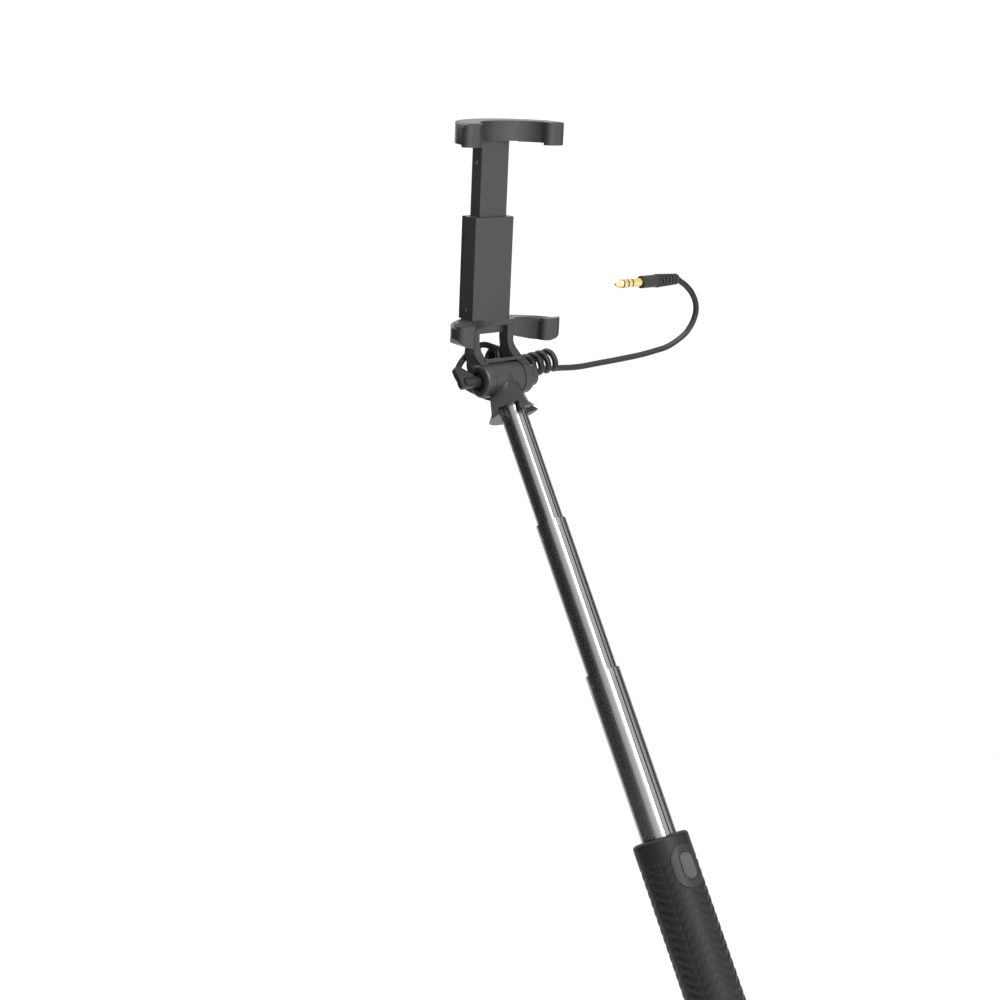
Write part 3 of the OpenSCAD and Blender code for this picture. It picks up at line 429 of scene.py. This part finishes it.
def turn_in(bm, at_mouth, radius, drop):
    """Draws the open rim at one end of the sleeve in or out to a radius, and down."""
    middle = (sleeve_foot + sleeve_mouth) / 2 * MM
    rim = [e for e in bm.edges if e.is_boundary and (e.verts[0].co.z > middle) == at_mouth]
    drawn = bmesh.ops.extrude_edge_only(bm, edges=rim)["geom"]
    for vert in (v for v in drawn if isinstance(v, bmesh.types.BMVert)):
        vert.co.xy = vert.co.xy.normalized() * radius * MM
        vert.co.z -= drop * MM


def grip_shell():
    """The embossed sleeve: a rolled-up grid with its ends turned in to the bore."""
    bm = bmesh.new()
    bmesh.ops.create_grid(bm, x_segments=AROUND, y_segments=UP, size=0.5)
    for vert in bm.verts:
        turn, rise = vert.co.x + 0.5, vert.co.y + 0.5
        z = sleeve_foot + (sleeve_mouth - sleeve_foot) * rise
        r = sleeve_r - emboss_depth * (1 - raised(turn, z))
        up_lip = z - sleeve_mouth + mouth_lip
        if up_lip > 0:
            r -= mouth_lip - math.sqrt(max(mouth_lip ** 2 - up_lip ** 2, 0))
        angle = 2 * math.pi * turn
        vert.co = (r * math.cos(angle) * MM, r * math.sin(angle) * MM, z * MM)
    bmesh.ops.remove_doubles(bm, verts=bm.verts, dist=WELD)
    turn_in(bm, True, mouth_r, 0)
    turn_in(bm, True, mouth_r, mouth_wall)
    turn_in(bm, True, bore_r, 0)
    turn_in(bm, False, bore_r, 0)
    ends = [e for e in bm.edges if e.is_boundary]
    bmesh.ops.bridge_loops(bm, edges=ends)
    bmesh.ops.recalc_face_normals(bm, faces=bm.faces)
    return bm


def cut(piece, cutter):
    """Takes the cutter's space out of the piece, and puts the cutter away."""
    tool = piece.modifiers.new("cut", "BOOLEAN")
    tool.object = cutter
    tool.solver = "EXACT"
    depsgraph = bpy.context.evaluated_depsgraph_get()
    mesh = bpy.data.meshes.new_from_object(piece.evaluated_get(depsgraph))
    piece.modifiers.clear()
    piece.data = mesh
    bpy.data.objects.remove(cutter)


def oval_prism(length, width, near, far, middle_z):
    """An upright oval prism from y = -near to y = -far, in millimetres."""
    bm = bmesh.new()
    bmesh.ops.create_circle(bm, cap_ends=True, segments=64, radius=width / 2 * MM)
    for vert in bm.verts:
        vert.co.y += math.copysign((length - width) / 2 * MM, vert.co.y)
    upright = Matrix.Rotation(math.pi / 2, 3, "X")
    bmesh.ops.rotate(bm, cent=(0, 0, 0), matrix=upright, verts=bm.verts)
    bmesh.ops.translate(bm, vec=(0, -near * MM, middle_z * MM), verts=bm.verts)
    pushed = bmesh.ops.extrude_face_region(bm, geom=list(bm.faces))["geom"]
    bmesh.ops.translate(bm, vec=(0, (near - far) * MM, 0),
                        verts=[v for v in pushed if isinstance(v, bmesh.types.BMVert)])
    bmesh.ops.recalc_face_normals(bm, faces=bm.faces)
    return bm


sleeve = made("grip_shell", grip_shell(), grip_rubber, smooth_angle=60)
window_low, window_high = (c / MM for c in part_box("button_bezel"))
hole = oval_prism(window_high.z - window_low.z, window_high.x - window_low.x,
                  near=8, far=14, middle_z=(window_low.z + window_high.z) / 2)
cut(sleeve, made("window_cutter", hole, grip_rubber))
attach(sleeve, "handle")
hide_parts("grip_sleeve")
smoothed("end_cap", dark_abs, 0.4)
smoothed("mouth_collar", dark_abs, 0.2)
paint(charcoal, "handle_core")

# ---- shutter button ------------------------------------------------------------
# An oval button in a frame let into the sleeve, over a switch on a small board.

button_grey = finish("button_grey", (0.05, 0.05, 0.053), 0.4)
smoothed("button_bezel", dark_abs, 0.2)
smoothed("button_cap", button_grey, 0.25)
board_green = finish("board_green", (0.02, 0.12, 0.05), 0.35)
switch_tin = finish("switch_tin", (0.6, 0.6, 0.62), 0.3, metallic=1)
paint(board_green, "circuit_board")
paint(switch_tin, "tact_switch")
paint(ring_black, "chip_resistors", "switch_plunger")

# ---- hidden lead and springs ------------------------------------------------------
# A curly lead runs up inside the pole, and two long springs pull the jaws together.

inner_wire, inner_pitch = 1.3, 2.2
spring_aside, spring_r, spring_wire_r, spring_turns = 2.3, 1.45, 0.25, 34
pin_reach = 1.4  # from a pin's axis to the end of the spring that hangs on it


def coil_line(foot, top, radius, turns, steps=16):
    """A coil's line from one point to another."""
    way = top - foot
    side = way.orthogonal().normalized()
    across = way.normalized().cross(side)
    count = round(turns * steps)
    for i in range(count + 1):
        angle = 2 * math.pi * i / steps
        t = i / count
        yield foot + way * t + radius * (side * math.cos(angle) + across * math.sin(angle))


for node, below, above in (("handle_lead", "handle", "lower_section"),
                           ("lower_lead", "lower_section", "middle_section"),
                           ("middle_lead", "middle_section", "upper_section")):
    low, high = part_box(node)
    wire = inner_wire * MM
    radius = (high.x - low.x) / 2 - wire / 2
    foot, top = Vector((0, 0, low.z + wire)), Vector((0, 0, high.z - wire))
    turns = (top.z - foot.z) / (inner_pitch * MM)
    coil = swept(node + "_coil", list(coil_line(foot, top, radius, turns, 12)), wire / 2, jacket, 8)
    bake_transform(coil)
    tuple(foot)
    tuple(top)
    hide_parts(node)
paint(jacket, "upper_lead")
spring_wire = finish("spring_wire", (0.55, 0.56, 0.58), 0.25, metallic=1, bump=0.003)
pins = [sum(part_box(name), Vector()) / 2 for name in ("lower_spring_pin", "upper_spring_pin")]
reach = (pins[1] - pins[0]).normalized() * pin_reach * MM
for name, side in (("clamp_spring_left", -1), ("clamp_spring_right", 1)):
    aside = Vector((side * spring_aside * MM, 0, 0))
    foot, top = pins[0] + aside + reach, pins[1] + aside - reach
    line = list(coil_line(foot, top, spring_r * MM, spring_turns, 14))
    spring = swept(name, line, spring_wire_r * MM, spring_wire, 8)
    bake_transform(spring)
    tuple(foot)
    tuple(top)
    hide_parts("clamp_springs")

# ---- floor and light -------------------------------------------------------------
# A plain near-white floor, dark cards that show in the polished tubes, an even white
# sky and two soft studio lights.

floor_white = finish("floor_white", (0.96, 0.96, 0.96), 1.0, tone=0.01, bump=0.0, sheen=0.0)
bm = bmesh.new()
bmesh.ops.create_grid(bm, x_segments=1, y_segments=1, size=3)
bmesh.ops.translate(bm, vec=(0, 0, cad_box[0][2] - MM), verts=bm.verts)
made("floor", bm, floor_white)


def card(name, place, width, height, colour):
    """A flat card beside the object, which faces the pole."""
    bm = bmesh.new()
    bmesh.ops.create_grid(bm, x_segments=1, y_segments=1, size=0.5)
    bmesh.ops.scale(bm, vec=(width, height, 1), verts=bm.verts)
    way = (Vector((0, 0, place[2])) - Vector(place)).to_track_quat("Z", "Y").to_matrix()
    bmesh.ops.rotate(bm, cent=(0, 0, 0), matrix=way, verts=bm.verts)
    bmesh.ops.translate(bm, vec=place, verts=bm.verts)
    made(name, bm, finish(name, colour, 0.9, tone=0.01, bump=0.0))


card("left_card", (-0.85, 0.0, 0.28), 1.15, 1.3, (0.012, 0.012, 0.012))
card("left_back_card", (-0.55, 0.78, 0.28), 0.75, 1.3, (0.05, 0.05, 0.05))
card("right_card", (0.8, -0.1, 0.28), 0.5, 1.3, (0.012, 0.012, 0.012))

bpy.context.scene.view_settings.view_transform = "Standard"
world = bpy.data.worlds.new("studio")
world.use_nodes = True
sky = world.node_tree.nodes["Background"]
sky.inputs["Color"].default_value = (1, 1, 1, 1)
sky.inputs["Strength"].default_value = 1.06
bpy.context.scene.world = world


def softbox(name, place, aim, size, power):
    """A rectangular area light at a place, turned to its aim."""
    light = bpy.data.lights.new(name, "AREA")
    light.shape = "RECTANGLE"
    light.size, light.size_y = size
    light.energy = power
    lamp = bpy.data.objects.new(name, light)
    bpy.context.scene.collection.objects.link(lamp)
    way = (Vector(aim) - Vector(place)).to_track_quat("-Z", "Y").to_matrix().to_4x4()
    lamp.matrix_world = Matrix.Translation(place) @ way


middle = (0, 0, 0.2)
softbox("key", (-0.05, -0.95, 0.45), middle, (0.28, 1.1), 11)
softbox("top", (-0.2, -0.2, 1.2), middle, (0.6, 0.6), 5)
